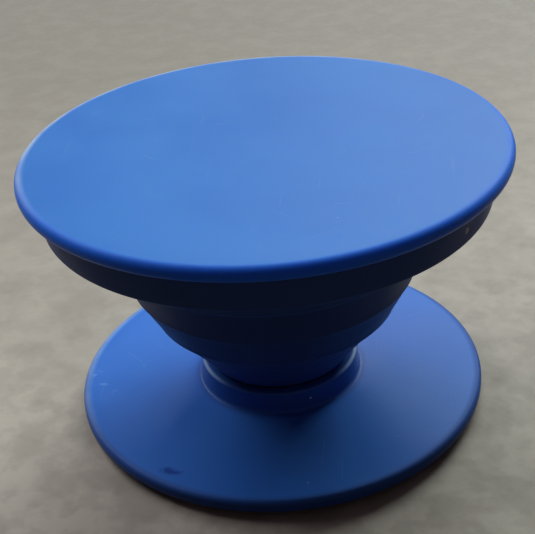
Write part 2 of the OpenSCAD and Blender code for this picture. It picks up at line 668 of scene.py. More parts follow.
@dataclass(frozen=True)
class Mark:
    """A short scuff or smudge on a flat face.

    Attributes:
        x: Middle of the mark, in mm.
        y: Middle of the mark, in mm.
        length: Length in mm.
        width: Width in mm.
        turn: Direction from the X axis, in degrees.
        strength: How strongly it shows, from 0 to 1.
        core: How much of its area shows in full, from 0 to 1.
    """

    x: float
    y: float
    length: float
    width: float
    turn: float
    strength: float
    core: float = 0.1

    def mask(self, shader: Shader) -> Socket:
        """Draw the mark as a soft ellipse.

        Args:
            shader: The shader that it is drawn in.

        Returns:
            A mask that is the mark's strength at its middle.
        """
        cosine, sine = math.cos(math.radians(self.turn)), math.sin(math.radians(self.turn))
        dx, dy = shader.math("SUBTRACT", shader.x, self.x), shader.math("SUBTRACT", shader.y, self.y)
        along = shader.total(shader.product(dx, cosine), shader.product(dy, sine))
        across = shader.total(shader.product(dy, cosine), shader.product(dx, -sine))
        sides = ((along, self.length), (across, self.width))
        shares = [shader.math("DIVIDE", part, side / 2) for part, side in sides]
        squares = [shader.product(share, share) for share in shares]
        return shader.step(shader.total(*squares), self.core, 1.0, self.strength, 0.0)


@dataclass(frozen=True)
class DustAndGlints:
    """Pale dusty specks scattered about, and single larger spots that are painted glints.

    Attributes:
        colour: Colour of the specks and the glints.
        cell: Distance between neighbouring seeds, in mm.
        size: Radius of a speck, in mm.
        share: Share of the seeds that show as specks.
        cover: How much of what lies under them the specks and glints hide, from 0 to 1.
        matt: How much it adds to the roughness.
        core: Share of a speck's radius that shows in full.
        glint_size: Radius of the painted glints, in mm.
        glint_core: Share of a glint's radius that shows in full.
        glints: Middles of the painted glints, in mm.
    """

    colour: Colour
    cell: float
    size: float
    share: float
    cover: float
    matt: float = 0.3
    core: float = 0.6
    glint_size: float = 0.14
    glint_core: float = 0.5
    glints: tuple[Place, ...] = ()

    def glint(self, shader: Shader, place: Place) -> Socket:
        """Draw one painted glint.

        Args:
            shader: The shader that it is drawn in.
            place: Middle of the glint, in mm.

        Returns:
            A mask that is 1 on the glint.
        """
        distance = shader.add("VectorMath", "DISTANCE")
        shader.feed(distance.inputs[0], shader.place)
        distance.inputs[1].default_value = Vector(place) * MM
        size = self.glint_size * MM
        return shader.step(distance.outputs["Value"], self.glint_core * size, size, 1.0, 0.0)

    def mask(self, shader: Shader) -> Socket:
        """Scatter the specks and set the painted glints.

        Args:
            shader: The shader that they are drawn in.

        Returns:
            A mask that is 1 on the specks and the glints.
        """
        cells = shader.cells(1 / (self.cell * MM))
        reach = self.size / self.cell
        near = shader.step(cells.outputs["Distance"], self.core * reach, reach, 1.0, 0.0)
        seed = shader.add("SeparateColor")
        shader.feed(seed.inputs[0], cells.outputs["Color"])
        specks = shader.product(near, shader.math("LESS_THAN", seed.outputs[0], self.share))
        return shader.highest(specks, *[self.glint(shader, place) for place in self.glints])


@dataclass(frozen=True)
class Rim:
    """Painted shade tint, wear and painted highlight of the rim of a round disc.

    Attributes:
        radius: Radius of the rim, in mm.
        face: Height of the disc's upper face, in mm.
        rub_and_highlight: Strength of the pale edge on the side that faces the lamps, from 0 to 1;
            partly wear, partly a painted highlight.
        highlight_way: Direction of that side, towards the back left.
        highlight_side: Where the pale edge starts and is full that way, in radii.
        rub_and_highlight_inside: Distances inside the rim between which it sets in, in mm.
        rub_and_highlight_under: Depths under the face between which it sets in, in mm.
        ragged: Pattern of the pale edge.
        matt: How much rougher the upper rounding is.
        matt_inside: Distances inside the rim between which that sets in, in mm.
        matt_under: Depths under the face between which it sets in, in mm.
        wall_inside: Distances inside the rim between which the wall and its painted shade tint start, in
            mm.
    """

    radius: float
    face: float
    rub_and_highlight: float = 1.0
    highlight_way: Span = (-0.53, 0.85)
    highlight_side: Span = (-0.1, 0.8)
    rub_and_highlight_inside: Span = (0.9, 0.35)
    rub_and_highlight_under: Span = (0.35, 0.12)
    ragged: Clouds = Clouds(260.0, 3.0, 0.35, 0.65, 0.55, 0.85)
    matt: float = 0.16
    matt_inside: Span = (0.9, 0.3)
    matt_under: Span = (0.5, 0.2)
    wall_inside: Span = (0.8, 0.12)

    def ring(self, shader: Shader, inside: Span) -> Socket:
        """Draw the ring that starts between two distances inside the rim."""
        return shader.step(shader.radius, *[self.radius - distance for distance in inside])

    def rounding(self, shader: Shader, inside: Span, under: Span) -> Socket:
        """Draw the part of such a ring that starts between two depths under the face."""
        upper = shader.step(shader.z, *[self.face - depth for depth in under])
        return shader.product(self.ring(shader, inside), upper)

    def wall(self, shader: Shader) -> Socket:
        """Draw the outer wall, where the painted shade tint goes."""
        return self.ring(shader, self.wall_inside)

    def matted(self, shader: Shader) -> Socket:
        """Work out what the upper rounding adds to the roughness."""
        return shader.product(self.rounding(shader, self.matt_inside, self.matt_under), self.matt)

    def rubbed_and_highlit(self, shader: Shader) -> Socket:
        """Draw the pale edge on the upper rounding: wear, with a painted highlight on the side that
        faces the lamps.

        Args:
            shader: The shader that it is drawn in.

        Returns:
            A mask that is its strength on the rim.
        """
        across, back = self.highlight_way
        lean = shader.total(shader.product(shader.x, across), shader.product(shader.y, back))
        # Painted highlight: strongest on the side that faces the lamps.
        side = shader.step(lean, *[share * self.radius for share in self.highlight_side], 0.0, self.rub_and_highlight)
        rounding = self.rounding(shader, self.rub_and_highlight_inside, self.rub_and_highlight_under)
        return shader.product(rounding, side, self.ragged.draw(shader))


@dataclass(frozen=True)
class CollarShadeAndHighlight:
    """Painted shade and painted highlights of a collar that stands on a plastic plate.

    Attributes:
        root: Radius of the collar's root, in mm.
        spread: How far the wall's darker colour, a painted shade, runs out over the plate, in mm.
        cover: How much of the plate's colour it hides there, from 0 to 1.
        crest: Heights above the plate between which the pale crest sets in, in mm.
        crest_radius: Radii between which it sets in, in mm.
        sides: Distances from the YZ plane between which it grows, in mm.
        rub_and_highlight: How strong it is in that plane and at the sides, from 0 to 1; a painted
            highlight at the lit sides, with a little wear.
    """

    root: float = 7.15
    spread: float = 0.9
    cover: float = 0.85
    crest: Span = (1.78, 1.95)
    crest_radius: Span = (6.6, 6.8)
    sides: Span = (4.4, 6.4)
    rub_and_highlight: Span = (0.04, 0.7)

    def near(self, shader: Shader) -> Socket:
        """Draw where the collar and its root get the wall's darker colour, a painted shade."""
        # Painted shade on the collar and on the plate round its root.
        return shader.step(shader.radius, self.root, self.root + self.spread, self.cover, 0.0)

    def rubbed_and_highlit(self, shader: Shader, deck: float) -> Socket:
        """Draw the pale crest of the collar: a painted highlight where the lamps light its sides, with a
        little wear.

        Args:
            shader: The shader that it is drawn in.
            deck: Height of the plate's upper face, in mm.

        Returns:
            A mask that is its strength on the crest.
        """
        # Painted highlight: the pale crest grows towards the left and right, where the lamps light it.
        return shader.product(
            shader.step(shader.z, *[deck + height for height in self.crest]),
            shader.step(shader.math("ABSOLUTE", shader.x), *self.sides, *self.rub_and_highlight),
            shader.step(shader.radius, *self.crest_radius),
        )


@dataclass(frozen=True)
class Finish(ABC):
    """A finish, which is made into one material.

    Attributes:
        name: Name of the material.
    """

    name: str

    @abstractmethod
    def make(self) -> bpy.types.Material:
        """Build the material.

        Returns:
            The finished material.
        """

    def material(self) -> bpy.types.Material:
        """Find the material, or build it where it is used first."""
        return bpy.data.materials.get(self.name) or self.make()


@dataclass(frozen=True)
class MouldedPlastic(Finish):
    """Hard moulded plastic with a fine satin grain, hairlines, pale dusty specks and edge wear, with
    painted shade on its walls and painted highlights on its edges.

    Attributes:
        deep: Colour where the plastic looks deepest.
        pale: Colour where it looks palest.
        wall: Colour painted on the outer wall and on a collar, standing in for how they look in shade: a
            painted shade tint.
        worn_and_highlit: Colour of edge wear and scuffs, also painted as highlights on the rim and on a
            collar's crest.
        shade: Colour of the dark marks.
        rough: Mean roughness.
        rim: Painted shade tint, wear and painted highlight of the rim.
        collar: Painted shade and painted highlights of a collar on the face, or None if there is none.
        glow: Share of the light that scatters inside the plastic.
        clouds: Pattern of the deep and the pale colour.
        uneven: How far the roughness goes up and down with that pattern.
        speckle_scale: Number of rougher and smoother speckles to a metre.
        speckle: How far the roughness differs between them.
        hairlines: Fine scratches.
        grain: The satin grain.
        waves: Slow waves in the surface.
        dust_and_glints: Pale dusty specks on the piece, and any painted glints.
        scuffs: Pale marks.
        dark_marks: Dark marks.
        ragged: Pattern that breaks the marks up.
        scuff_matt: How much a scuff adds to the roughness.
    """

    deep: Colour
    pale: Colour
    wall: Colour
    worn_and_highlit: Colour
    shade: Colour
    rough: float
    rim: Rim
    collar: CollarShadeAndHighlight | None = None
    glow: float = 0.0
    clouds: Clouds = Clouds(75.0, 3.0, 0.3, 0.7)
    uneven: float = 0.03
    speckle_scale: float = 620.0
    speckle: float = 0.1
    hairlines: Hairlines = Hairlines()
    grain: Grain = Grain(4200.0, 2.0, 0.004)
    waves: Grain = Grain(190.0, 1.0, 0.012)
    dust_and_glints: DustAndGlints = DustAndGlints(colour=(0.66, 0.74, 0.88), cell=2.3, size=0.055, share=0.16, cover=0.7)
    scuffs: tuple[Mark, ...] = ()
    dark_marks: tuple[Mark, ...] = ()
    ragged: Clouds = Clouds(1500.0, 3.0, 0.35, 0.6)
    scuff_matt: float = 0.15

    def marks(self, shader: Shader, marks: tuple[Mark, ...]) -> Socket:
        """Draw a group of marks in one mask with ragged edges."""
        masks = [mark.mask(shader) for mark in marks]
        return shader.product(shader.capped(*masks), self.ragged.draw(shader))

    def make(self) -> bpy.types.Material:
        """Build the material.

        Returns:
            The finished material.
        """
        levels = {
            "IOR": 1.46,
            "Specular IOR Level": 0.09,
            "Subsurface Weight": self.glow,
            "Subsurface Radius": (0.15, 0.45, 1.0),
            "Subsurface Scale": 0.8 * MM,
        }
        shader = Shader(self.name, levels)
        clouds = self.clouds.draw(shader)
        lines = self.hairlines.mask(shader)
        dust_and_glints = self.dust_and_glints.mask(shader)
        colour = shader.blend(clouds, self.deep, self.pale)
        # Painted shade tint on the outer wall.
        colour = shader.blend(self.rim.wall(shader), colour, self.wall)
        if self.collar:
            # Painted shade on the collar and round its root, then wear and a painted highlight on its
            # crest.
            colour = shader.blend(self.collar.near(shader), colour, self.wall)
            colour = shader.blend(self.collar.rubbed_and_highlit(shader, self.rim.face), colour, self.worn_and_highlit)
        # Wear and a painted highlight on the rim's upper rounding.
        colour = shader.blend(self.rim.rubbed_and_highlit(shader), colour, self.worn_and_highlit)
        colour = shader.blend(shader.product(lines, self.hairlines.strength), colour, self.worn_and_highlit)
        speckles = shader.math("SUBTRACT", shader.noise(self.speckle_scale), 0.5)
        rough = shader.total(
            shader.step(clouds, 0.0, 1.0, self.rough - self.uneven, self.rough + self.uneven),
            self.rim.matted(shader),
            shader.product(lines, self.hairlines.matt),
            shader.product(speckles, self.speckle),
            shader.product(dust_and_glints, self.dust_and_glints.matt),
        )
        if self.dark_marks:
            colour = shader.blend(self.marks(shader, self.dark_marks), colour, self.shade)
        if self.scuffs:
            scuffed = self.marks(shader, self.scuffs)
            colour = shader.blend(scuffed, colour, self.worn_and_highlit)
            rough = shader.total(rough, shader.product(scuffed, self.scuff_matt))
        # Pale dusty specks, and painted glints where there are any.
        colour = shader.blend(shader.product(dust_and_glints, self.dust_and_glints.cover), colour, self.dust_and_glints.colour)
        normal = self.waves.put_on(shader, self.grain.put_on(shader))
        normal = shader.bump(shader.math("SUBTRACT", 1.0, lines), self.hairlines.depth, normal)
        return shader.finish(colour, rough, normal)


@dataclass(frozen=True)
class Elastomer(Finish):
    """Soft moulded elastomer with flow rings, paler folds, pale dusty specks, a painted glint and
    painted shade on the web under the band.

    Attributes:
        body: Main colour.
        bloom: Paler colour in clouds and at the folds.
        shaded_web: Darker colour of the web under the band: painted shade.
        folds: Heights of the folds, in mm.
        rough: Mean roughness.
        web: Lowest and highest point of the web under the band, in mm.
        web_matt: How much rougher that web is.
        dust_and_glints: Pale dusty specks on the piece, and a painted glint.
        clouds: Pattern of the bloom.
        cloud_share: How strongly the bloom shows in it, from 0 to 1.
        uneven: How far the roughness goes up and down with that pattern.
        fold_band: Distances from a fold between which its pale band ends, in mm.
        fold_wear: Pattern of the pale bands.
        fold_matt: How much they add to the roughness.
        web_start: Height over which the web's duller, darker look sets in, in mm.
        web_end: Height over which it ends, in mm.
        web_share: How strongly its painted shade shows, from 0 to 1.
        grain: The fine grain.
        rings: Number of flow rings to a millimetre of height.
        ring_depth: Depth of the flow rings, in mm.
    """

    body: Colour
    bloom: Colour
    shaded_web: Colour
    folds: tuple[float, ...]
    rough: float
    web: Span
    web_matt: float
    dust_and_glints: DustAndGlints
    clouds: Clouds = Clouds(140.0, 3.0, 0.3, 0.7)
    cloud_share: float = 0.3
    uneven: float = 0.05
    fold_band: Span = (0.05, 0.4)
    fold_wear: Clouds = Clouds(420.0, 3.0, 0.42, 0.7, 0.15, 0.6)
    fold_matt: float = 0.08
    web_start: float = 0.3
    web_end: float = 0.1
    web_share: float = 0.6
    grain: Grain = Grain(3600.0, 3.0, 0.006)
    rings: float = 6.0
    ring_depth: float = 0.012

    def pale_folds(self, shader: Shader) -> Socket:
        """Draw a pale band of wear at each fold.

        Args:
            shader: The shader that they are drawn in.

        Returns:
            A mask that is higher in the bands.
        """
        gaps = [shader.math("ABSOLUTE", shader.math("SUBTRACT", shader.z, fold)) for fold in self.folds]
        bands = [shader.step(gap, *self.fold_band, 1.0, 0.0) for gap in gaps]
        return shader.product(shader.total(*bands), self.fold_wear.draw(shader))

    def dull_shaded_web(self, shader: Shader) -> Socket:
        """Draw the web under the band, which is rougher and carries painted shade.

        Args:
            shader: The shader that it is drawn in.

        Returns:
            A mask that is 1 on the web.
        """
        low, high = self.web
        return shader.product(
            shader.step(shader.z, low, low + self.web_start),
            shader.step(shader.z, high - self.web_end, high, 1.0, 0.0),
        )

    def flow(self, shader: Shader) -> Socket:
        """Draw the flow rings.

        Args:
            shader: The shader that they are drawn in.

        Returns:
            Heights from 0 to 1.
        """
        height = shader.add("CombineXYZ")
        shader.feed(height.inputs[2], shader.product(shader.z, self.rings))
        return shader.noise(1.0, 2.0, height.outputs[0])

    def make(self) -> bpy.types.Material:
        """Build the material.

        Returns:
            The finished material.
        """
        shader = Shader(self.name, {"IOR": 1.42, "Specular IOR Level": 0.10})
        clouds = self.clouds.draw(shader)
        pale = self.pale_folds(shader)
        shaded_web = self.dull_shaded_web(shader)
        dust_and_glints = self.dust_and_glints.mask(shader)
        colour = shader.blend(shader.product(clouds, self.cloud_share), self.body, self.bloom)
        colour = shader.blend(pale, colour, self.bloom)
        # Painted shade: a darker colour on the web under the band.
        colour = shader.blend(shader.product(shaded_web, self.web_share), colour, self.shaded_web)
        # Pale dusty specks and the painted glint on the band.
        colour = shader.blend(shader.product(dust_and_glints, self.dust_and_glints.cover), colour, self.dust_and_glints.colour)
        rough = shader.total(
            self.rough - self.uneven,
            shader.product(clouds, 2 * self.uneven),
            shader.product(dust_and_glints, self.dust_and_glints.matt),
            shader.product(pale, self.fold_matt),
            shader.product(shaded_web, self.web_matt),
        )
        normal = shader.bump(self.flow(shader), self.ring_depth, self.grain.put_on(shader))
        return shader.finish(colour, rough, normal)


@dataclass(frozen=True)
class AdhesiveFoam(Finish):
    """Grey adhesive foam with fine open cells and shallow dents.

    Attributes:
        light: Colour of the cell walls.
        dark: Colour between the cells.
        pore_scale: Number of cells to a metre.
        pore_wall: Distances from a cell's middle between which its wall starts.
        pore_depth: Depth of the cells, in mm.
        dark_clouds: Pattern of the darker places.
        rough: Pattern of the roughness.
        dents: Shallow dents in the surface.
    """

    light: Colour
    dark: Colour
    pore_scale: float = 2400.0
    pore_wall: Span = (0.15, 0.6)
    pore_depth: float = 0.03
    dark_clouds: Clouds = Clouds(110.0, 3.0, 0.35, 0.7, 0.0, 0.35)
    rough: Clouds = Clouds(110.0, 3.0, 0.3, 0.7, 0.55, 0.72)
    dents: Grain = Grain(110.0, 3.0, 0.05)

    def make(self) -> bpy.types.Material:
        """Build the material.

        Returns:
            The finished material.
        """
        shader = Shader(self.name, {"Specular IOR Level": 0.5})
        pores = shader.cells(self.pore_scale).outputs["Distance"]
        colour = shader.blend(shader.step(pores, *self.pore_wall), self.dark, self.light)
        colour = shader.blend(self.dark_clouds.draw(shader), colour, self.dark)
        normal = self.dents.put_on(shader, shader.bump(pores, self.pore_depth))
        return shader.finish(colour, self.rough.draw(shader), normal)


@dataclass(frozen=True)
class Laminate(Finish):
    """Plain mottled laminate of a table top, painted lighter in front of the grip than behind it:
    painted light and shade.

    Attributes:
        front: Colour in front of the grip, painted lighter than the back: painted light.
        back: Colour behind the grip, painted darker than the front: painted shade.
        mottle: Colour of the darker clouds.
        fleck: Colour of the paler clouds.
        bounce: Colour of the light that the table throws back.
        fade: Places on the Y axis between which the front's colour ends, in mm.
        clouds: Pattern of the large dark clouds.
        layers: Pattern of each layer of fine mottling, and whether it is pale.
        far: Places on the Y axis between which the mottling gets weak, in mm.
        far_share: How strong it still is behind them, from 0 to 1.
        grain: The fine grain.
        rough: Pattern of the roughness.
    """

    front: Colour = (0.460, 0.424, 0.380)
    back: Colour = (0.245, 0.227, 0.204)
    mottle: Colour = (0.216, 0.199, 0.176)
    fleck: Colour = (0.432, 0.408, 0.366)
    bounce: Colour = (0.078, 0.062, 0.055)
    fade: Span = (-70.0, 120.0)
    clouds: Clouds = Clouds(45.0, 5.0, 0.35, 0.7, 0.0, 0.3)
    layers: tuple[tuple[Clouds, bool], ...] = (
        (Clouds(210.0, 4.0, 0.44, 0.62, 0.0, 0.5), False),
        (Clouds(260.0, 4.0, 0.44, 0.62, 0.0, 0.4), True),
        (Clouds(520.0, 4.0, 0.44, 0.62, 0.0, 0.35), False),
    )
    far: Span = (-60.0, 110.0)
    far_share: float = 0.25
    grain: Grain = Grain(900.0, 4.0, 0.02)
    rough: Clouds = Clouds(900.0, 4.0, 0.2, 0.8, 0.5, 0.65)

    def make(self) -> bpy.types.Material:
        """Build the material.

        Returns:
            The finished material.
        """
        shader = Shader(self.name, {"Specular IOR Level": 0.17})
        # Painted light and shade: lighter in front of the grip, darker behind it.
        colour = shader.blend(shader.step(shader.y, *self.fade), self.front, self.back)
        colour = shader.blend(self.clouds.draw(shader), colour, self.mottle)
        close = shader.step(shader.y, *self.far, 1.0, self.far_share)
        for layer, pale in self.layers:
            share = shader.product(layer.draw(shader), close)
            colour = shader.blend(share, colour, self.fleck if pale else self.mottle)
        colour = shader.blend(shader.seen_rays(), self.bounce, colour)
        return shader.finish(colour, self.rough.draw(shader), self.grain.put_on(shader))


BASE_SCUFFS = (
    Mark(-17.2, 0.5, 1.1, 0.55, 62.0, 0.18),
    Mark(-16.1, -0.9, 1.2, 0.50, -18.0, 0.20),
    Mark(-15.1, -2.1, 0.9, 0.50, 40.0, 0.18),
    Mark(-16.7, 1.2, 0.8, 0.40, -35.0, 0.16),
    Mark(-12.6, 1.6, 0.7, 0.30, 75.0, 0.10),
    Mark(1.4, -16.0, 0.34, 0.34, 0.0, 0.60),
    Mark(8.6, -11.4, 2.2, 0.20, 12.0, 0.08),
    Mark(11.8, 7.9, 1.7, 0.22, -40.0, 0.10),
)
BASE_DARK_MARKS = (
    Mark(-9.5, -13.3, 2.5, 1.1, -12.0, 0.80),
    Mark(6.0, 13.6, 2.2, 0.9, 30.0, 0.45),
)
TOP_SCUFFS = (
    Mark(-9.5, 6.5, 3.4, 0.10, 21.0, 0.16),
    Mark(5.5, -12.0, 2.6, 0.09, -8.0, 0.14),
    Mark(13.2, 2.0, 2.1, 0.10, 64.0, 0.16),
)

BUTTON_FINISH = MouldedPlastic(
    name="button_satin_blue",
    deep=(0.034, 0.167, 0.570),
    pale=(0.045, 0.195, 0.608),
    # Painted shade tint: a deeper, more saturated blue on the outer wall, for how it looks in shade.
    wall=(0.019, 0.158, 0.790),
    # Pale colour of wear, also used for painted highlights on the rim.
    worn_and_highlit=(0.41, 0.52, 0.64),
    shade=(0.018, 0.084, 0.396),
    rough=0.38,
    # The rim's pale edge is partly wear, partly a painted highlight on the back left.
    rim=Rim(radius=DISC_RADIUS, face=BUTTON_Z + DISC_THICKNESS),
    glow=0.5,
    scuffs=TOP_SCUFFS,
)
BASE_FINISH = MouldedPlastic(
    name="base_semi_gloss_blue",
    deep=(0.031, 0.147, 0.585),
    pale=(0.040, 0.174, 0.636),
    # Painted shade: a darker navy on the plate's edge, on the collar and round its root.
    wall=(0.024, 0.086, 0.350),
    # Pale colour of wear, also used for painted highlights on the rim and the collar's crest.
    worn_and_highlit=(0.34, 0.55, 0.88),
    shade=(0.012, 0.043, 0.300),
    rough=0.34,
    # The plate's rim has a weaker pale edge: partly wear, partly a painted highlight on the back left.
    rim=Rim(radius=PLATE_RADIUS, face=DECK_Z, rub_and_highlight=0.5),
    collar=CollarShadeAndHighlight(),
    grain=replace(MouldedPlastic.grain, depth=0.003),
    scuffs=BASE_SCUFFS,
    dark_marks=BASE_DARK_MARKS,
    # The single spot here is a painted glint on the collar's front.
    dust_and_glints=replace(MouldedPlastic.dust_and_glints, glints=((2.3, -6.62, DECK_Z + 1.06),)),
)
ACCORDION_FINISH = Elastomer(
    name="accordion_navy",
    body=(0.028, 0.064, 0.215),
    bloom=(0.032, 0.070, 0.232),
    # Painted shade: the darker colour of the web under the band.
    shaded_web=(0.012, 0.029, 0.096),
    folds=tuple(DECK_Z + height for height in (5.3, 7.7, 11.0, 13.9)),
    rough=0.46,
    web=(DECK_Z + 14.1, DECK_Z + 17.9),
    web_matt=0.4,
    dust_and_glints=DustAndGlints(
        colour=(0.66, 0.70, 0.76),
        cell=2.6,
        size=0.06,
        share=0.14,
        cover=0.8,
        # The single spot here is a painted glint on the band.
        glint_size=0.36,
        glints=((14.3, -11.7, 20.9),),
    ),
)
PAD_FINISH = AdhesiveFoam(name="pad_grey_foam", light=(0.42, 0.43, 0.45), dark=(0.24, 0.25, 0.27))


@dataclass
class Piece(ABC):
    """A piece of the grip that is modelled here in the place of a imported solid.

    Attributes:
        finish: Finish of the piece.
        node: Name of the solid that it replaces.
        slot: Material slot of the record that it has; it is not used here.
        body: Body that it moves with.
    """

    finish: Finish
    node: str
    slot: Slot
    body: Body

    @abstractmethod
    def build(self) -> bpy.types.Object:
        """Model the piece.

        Returns:
            The piece's object.
        """

    def attach(self, piece: bpy.types.Object) -> None:
        """Let the piece move with its body."""
        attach(piece, self.body.value)

    def dress(self, piece: bpy.types.Object) -> None:
        """Give the piece its finish, its body and the place of its solid.

        Args:
            piece: The built piece.
        """
        piece.data.materials.clear()
        piece.data.materials.append(self.finish.material())
        self.attach(piece)
        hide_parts(self.node)


@dataclass
class Button(Piece):
    """The round disc that the fingers hold, with the snap ring and ribs under it.

    Its heights are measured from the disc's underside.
    """

    radius: float = DISC_RADIUS
    thickness: float = DISC_THICKNESS
    edge_rounding: Rounding = (0.6, 10)
    ring_depth: float = 2.2
    ring_inner: float = 15.25
    ring_outer: float = 16.25
    barb_radius: float = 16.8
    barb_top: float = -1.3
    barb_slope: float = 0.1
    barb_land: float = 0.2
    barb_edge: Rounding = (0.04, 2)
    barb_nose: Rounding = (0.08, 2)
    lead: float = 0.1
    finger_count: int = 6
    slot_width: float = 1.4
    slot_start: float = 8.0
    slot_past: float = 1.0
    hub_inner: float = 4.7
    hub_outer: float = 5.5
    rib_count: int = 12
    rib_width: float = 0.8
    rib_depth: float = 0.5
    sunk: float = 0.2
    finish: MouldedPlastic = BUTTON_FINISH
    node: str = "button"
    slot: Slot = Slot.BUTTON
    body: Body = Body.BUTTON

    def disc(self) -> bpy.types.Object:
        """Turn the disc with its rounded edge.

        Returns:
            The disc's object.
        """
        corners = [
            Corner(0.0, 0.0),
            Corner(self.radius, 0.0, *self.edge_rounding),
            Corner(self.radius, self.thickness, *self.edge_rounding),
            Corner(0.0, self.thickness),
        ]
        return as_object(Lathe(corners, lift=BUTTON_Z, pitch=2.0).turn(), "button_disc")

    def snap_ring(self) -> bpy.types.Object:
        """Turn the barbed ring and cut it into springy fingers.

        Returns:
            The ring's object.
        """
        corners = [
            Corner(self.ring_inner, self.sunk),
            Corner(self.ring_outer, self.sunk),
            Corner(self.ring_outer, self.barb_top),
            Corner(self.barb_radius, self.barb_top - self.barb_slope, *self.barb_edge),
            Corner(self.barb_radius, self.barb_top - self.barb_slope - self.barb_land, *self.barb_nose),
            Corner(self.ring_outer - self.lead, -self.ring_depth, *SOFT),
            Corner(self.ring_inner, -self.ring_depth, *SOFT),
        ]
        ring = as_object(Lathe(corners, closed=True, lift=BUTTON_Z).turn(), "snap_ring")
        slot = cube(
            (self.slot_start, -self.slot_width / 2, BUTTON_Z - self.ring_depth - self.slot_past),
            (self.barb_radius + self.slot_past, self.slot_width / 2, BUTTON_Z),
        )
        slots = repeat_round(slot, self.finger_count, math.pi / self.finger_count)
        combine(ring, as_object(slots, "slots"), Operation.CUT)
        return ring

    def hub(self) -> bpy.types.Object:
        """Turn the ring that the ribs start from.

        Returns:
            The hub's object.
        """
        corners = [
            Corner(self.hub_inner, self.sunk),
            Corner(self.hub_outer, self.sunk),
            Corner(self.hub_outer, -self.rib_depth, *SOFT),
            Corner(self.hub_inner, -self.rib_depth, *SOFT),
        ]
        return as_object(Lathe(corners, closed=True, lift=BUTTON_Z, steps=96).turn(), "hub")

    def ribs(self) -> bpy.types.Object:
        """Make the radial ribs.

        Returns:
            The object of all ribs.
        """
        rib = cube(
            ((self.hub_inner + self.hub_outer) / 2, -self.rib_width / 2, BUTTON_Z - self.rib_depth),
            ((self.ring_inner + self.ring_outer) / 2, self.rib_width / 2, BUTTON_Z + self.sunk),
        )
        return as_object(repeat_round(rib, self.rib_count), "ribs")

    def build(self) -> bpy.types.Object:
        """Join disc, ring, hub and ribs into one moulding.

        Returns:
            The button's object.
        """
        button = self.disc()
        for part in (self.snap_ring(), self.hub(), self.ribs()):
            combine(button, part, Operation.JOIN)
        refine(button)
        button.name = "button_cap"
        return button


